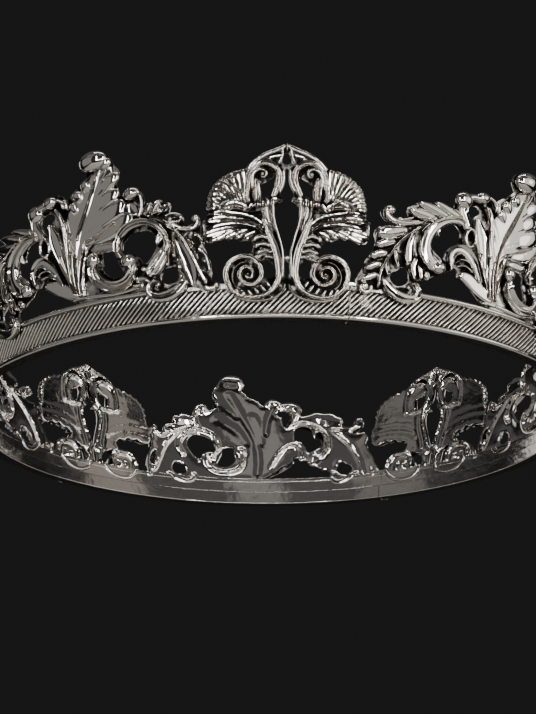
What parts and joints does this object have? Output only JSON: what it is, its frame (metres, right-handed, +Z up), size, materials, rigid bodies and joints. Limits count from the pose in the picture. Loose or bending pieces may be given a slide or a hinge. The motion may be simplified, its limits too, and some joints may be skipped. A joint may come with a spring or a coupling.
{
  "type": "crown",
  "caption": "Full-round dress crown: a leaning ribbed band between two rails carries pierced shell crests and taller acanthus leaf crests in antiqued silver-plated cast metal.",
  "frame": {"origin": "centre of the head opening, in the plane of the rim's flat underside", "axes": "+Z up along the ring's axis; -Y through the middle of shell_crest_5, seen as the front"},
  "size_m": [0.1714, 0.1752, 0.0413],
  "materials": {
    "lower_rail_plating": "polished plating, darkened in the corners",
    "ribbed_strip_plating": "bright rib tops, dark antiqued grooves",
    "upper_rail_plating": "polished plating",
    "shell_crest_plating": "bright relief, dark antiqued recesses",
    "leaf_crest_plating": "bright relief, dark antiqued recesses",
    "seam_metal": "satin solder and plating"
  },
  "bodies": {
    "root": {"lower_rail_1": "lower_rail_plating", "lower_rail_2": "lower_rail_plating", "lower_rail_3": "lower_rail_plating", "lower_rail_4": "lower_rail_plating", "lower_rail_5": "lower_rail_plating", "ribbed_strip_1": "ribbed_strip_plating", "ribbed_strip_2": "ribbed_strip_plating", "ribbed_strip_3": "ribbed_strip_plating", "ribbed_strip_4": "ribbed_strip_plating", "ribbed_strip_5": "ribbed_strip_plating", "upper_rail_1": "upper_rail_plating", "upper_rail_2": "upper_rail_plating", "upper_rail_3": "upper_rail_plating", "upper_rail_4": "upper_rail_plating", "upper_rail_5": "upper_rail_plating", "shell_crest_1": "shell_crest_plating", "shell_crest_2": "shell_crest_plating", "shell_crest_3": "shell_crest_plating", "shell_crest_4": "shell_crest_plating", "shell_crest_5": "shell_crest_plating", "leaf_crest_1": "leaf_crest_plating", "leaf_crest_2": "leaf_crest_plating", "leaf_crest_3": "leaf_crest_plating", "leaf_crest_4": "leaf_crest_plating", "leaf_crest_5": "leaf_crest_plating", "seam_eyelets": "seam_metal", "seam_pegs": "seam_metal"}
  },
  "joints": []
}
